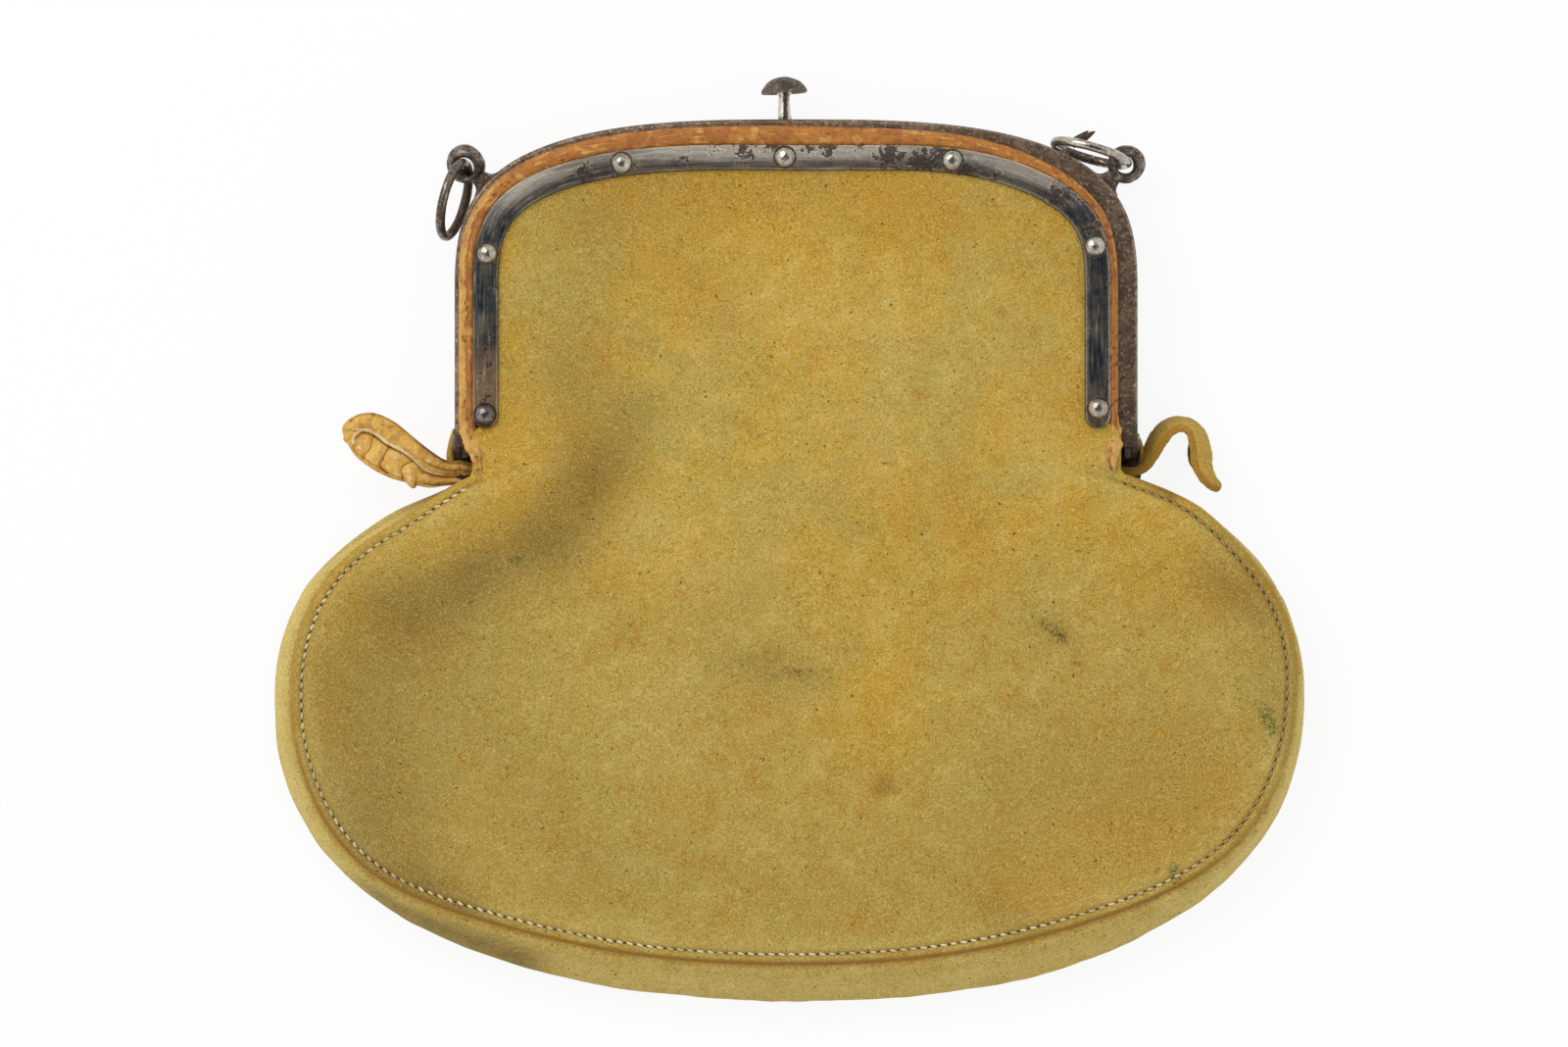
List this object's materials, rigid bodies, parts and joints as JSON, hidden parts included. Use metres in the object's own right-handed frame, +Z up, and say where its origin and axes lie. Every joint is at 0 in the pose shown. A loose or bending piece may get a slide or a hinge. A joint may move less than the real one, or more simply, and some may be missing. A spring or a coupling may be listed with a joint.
{
  "type": "hunting pouch",
  "caption": "Flat suede hunting pouch on an arched steel frame that hinges open, with a push-button catch, riveted clamping bands, leather piping, pull tabs and strap rings.",
  "frame": {"origin": "middle of the pouch's outline on the table that it lies on", "axes": "+X across the pouch to its right seen from the front, +Y from the foot of the bag to the push button, +Z up out of the front panel"},
  "size_m": [0.2626, 0.2366, 0.0246],
  "materials": {
    "steel": "old steel with a grey-brown patina and rust specks",
    "blued_steel": "blue-grey steel strip, scratched, with dark rust spots",
    "bright_steel": "polished steel, worn bright",
    "suede": "mustard-olive suede with brown stains and a rubbed nap",
    "piping_leather": "orange-tan smooth leather, scuffed",
    "tab_leather": "honey-tan smooth leather, creased"
  },
  "bodies": {
    "bag": {"rear_bow": "steel", "rear_band": "blued_steel", "rear_piping": "piping_leather", "rear_rivet_left_foot": "bright_steel", "rear_rivet_left_side": "bright_steel", "rear_rivet_left_top": "bright_steel", "rear_rivet_centre": "bright_steel", "rear_rivet_right_top": "bright_steel", "rear_rivet_right_side": "bright_steel", "rear_rivet_right_foot": "bright_steel", "left_hinge_pin": "bright_steel", "right_hinge_pin": "bright_steel", "button_spring": "bright_steel", "stem_guide": "bright_steel", "left_eyelet": "steel", "right_eyelet": "steel", "front_panel": "suede", "back_panel": "suede", "gusset": "suede", "left_tab": "tab_leather", "left_tab_lining": "tab_leather", "right_tab": "suede", "right_tab_lining": "tab_leather"},
    "front_frame": {"front_bow": "steel", "front_band": "blued_steel", "front_piping": "piping_leather", "front_rivet_left_foot": "bright_steel", "front_rivet_left_side": "bright_steel", "front_rivet_left_top": "bright_steel", "front_rivet_centre": "bright_steel", "front_rivet_right_top": "bright_steel", "front_rivet_right_side": "bright_steel", "front_rivet_right_foot": "bright_steel", "catch_fork": "bright_steel"},
    "push_button": {"button_cap": "steel", "button_stem": "bright_steel"},
    "left_ring": {"left_ring": "steel"},
    "right_ring": {"right_ring": "bright_steel"}
  },
  "joints": [
    {"name": "frame_hinge", "type": "hinge", "parent": "bag", "child": "front_frame", "pos_m": [0, 0.02399, 0.0126], "axis": [1, 0, 0], "range_deg": [0, 60], "deforming": ["front_panel", "catch_fork"]},
    {"name": "button_press", "type": "slide", "parent": "bag", "child": "push_button", "axis": [0, -1, 0], "range_m": [0, 0.0025], "stiffness_N_per_m": 400, "springref_m": -0.001, "deforming": ["button_spring"]},
    {"name": "left_ring_swing", "type": "hinge", "parent": "bag", "child": "left_ring", "pos_m": [-0.08459, 0.09542, 0.0086], "axis": [0, 0, 1], "range_deg": [-220, 0]},
    {"name": "right_ring_swing", "type": "hinge", "parent": "bag", "child": "right_ring", "pos_m": [0.08459, 0.09542, 0.0086], "axis": [0, 0, 1], "range_deg": [-230, 0]}
  ]
}
